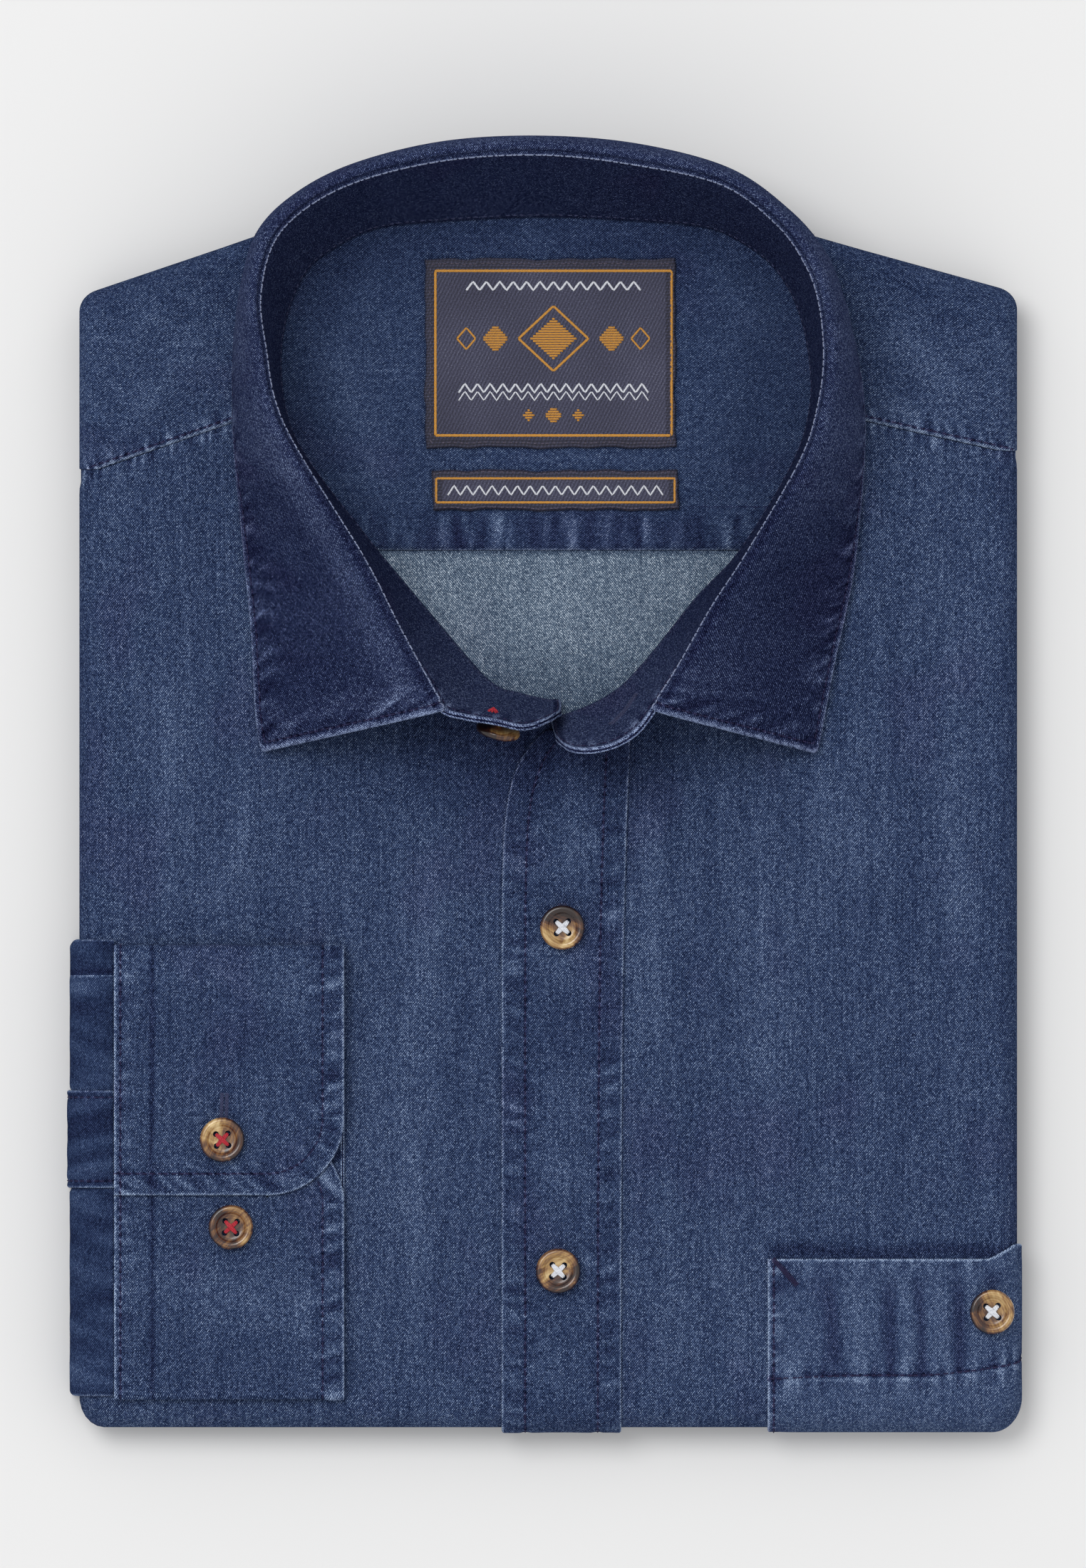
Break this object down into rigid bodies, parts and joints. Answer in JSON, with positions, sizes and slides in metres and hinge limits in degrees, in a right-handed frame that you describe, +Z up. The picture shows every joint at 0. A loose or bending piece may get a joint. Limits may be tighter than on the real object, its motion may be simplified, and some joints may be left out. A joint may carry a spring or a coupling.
{
  "type": "folded shirt",
  "caption": "Long-sleeved chambray shirt, buttoned, folded and laid flat, with its collar standing open, a cuff turned over the front and a buttoned breast pocket.",
  "frame": {"origin": "on the surface the shirt lies on, under the middle of its bounding box", "axes": "+X to the wearer's left, +Y along the shirt to its collar, +Z up from the surface"},
  "size_m": [0.2476, 0.3349, 0.0537],
  "materials": {
    "chambray": "matte twill weave",
    "collar": "matte twill weave",
    "wrong_side": "matte twill weave, wrong side out",
    "label": "woven satin",
    "button": "marbled horn, polished"
  },
  "bodies": {
    "root": {"folded_layers": "chambray", "back_inside": "wrong_side", "yoke_inner": "chambray", "yoke_outer": "chambray", "right_front": "chambray", "left_front": "chambray", "front_placket": "chambray", "pocket": "chambray", "collar_stand": "collar", "collar_leaf": "collar", "right_sleeve": "chambray", "sleeve_placket": "chambray", "right_cuff": "chambray", "main_label": "label", "size_label": "label", "collar_button": "button", "front_button_1": "button", "front_button_2": "button", "cuff_button_1": "button", "cuff_button_2": "button", "pocket_button": "button"}
  },
  "joints": []
}
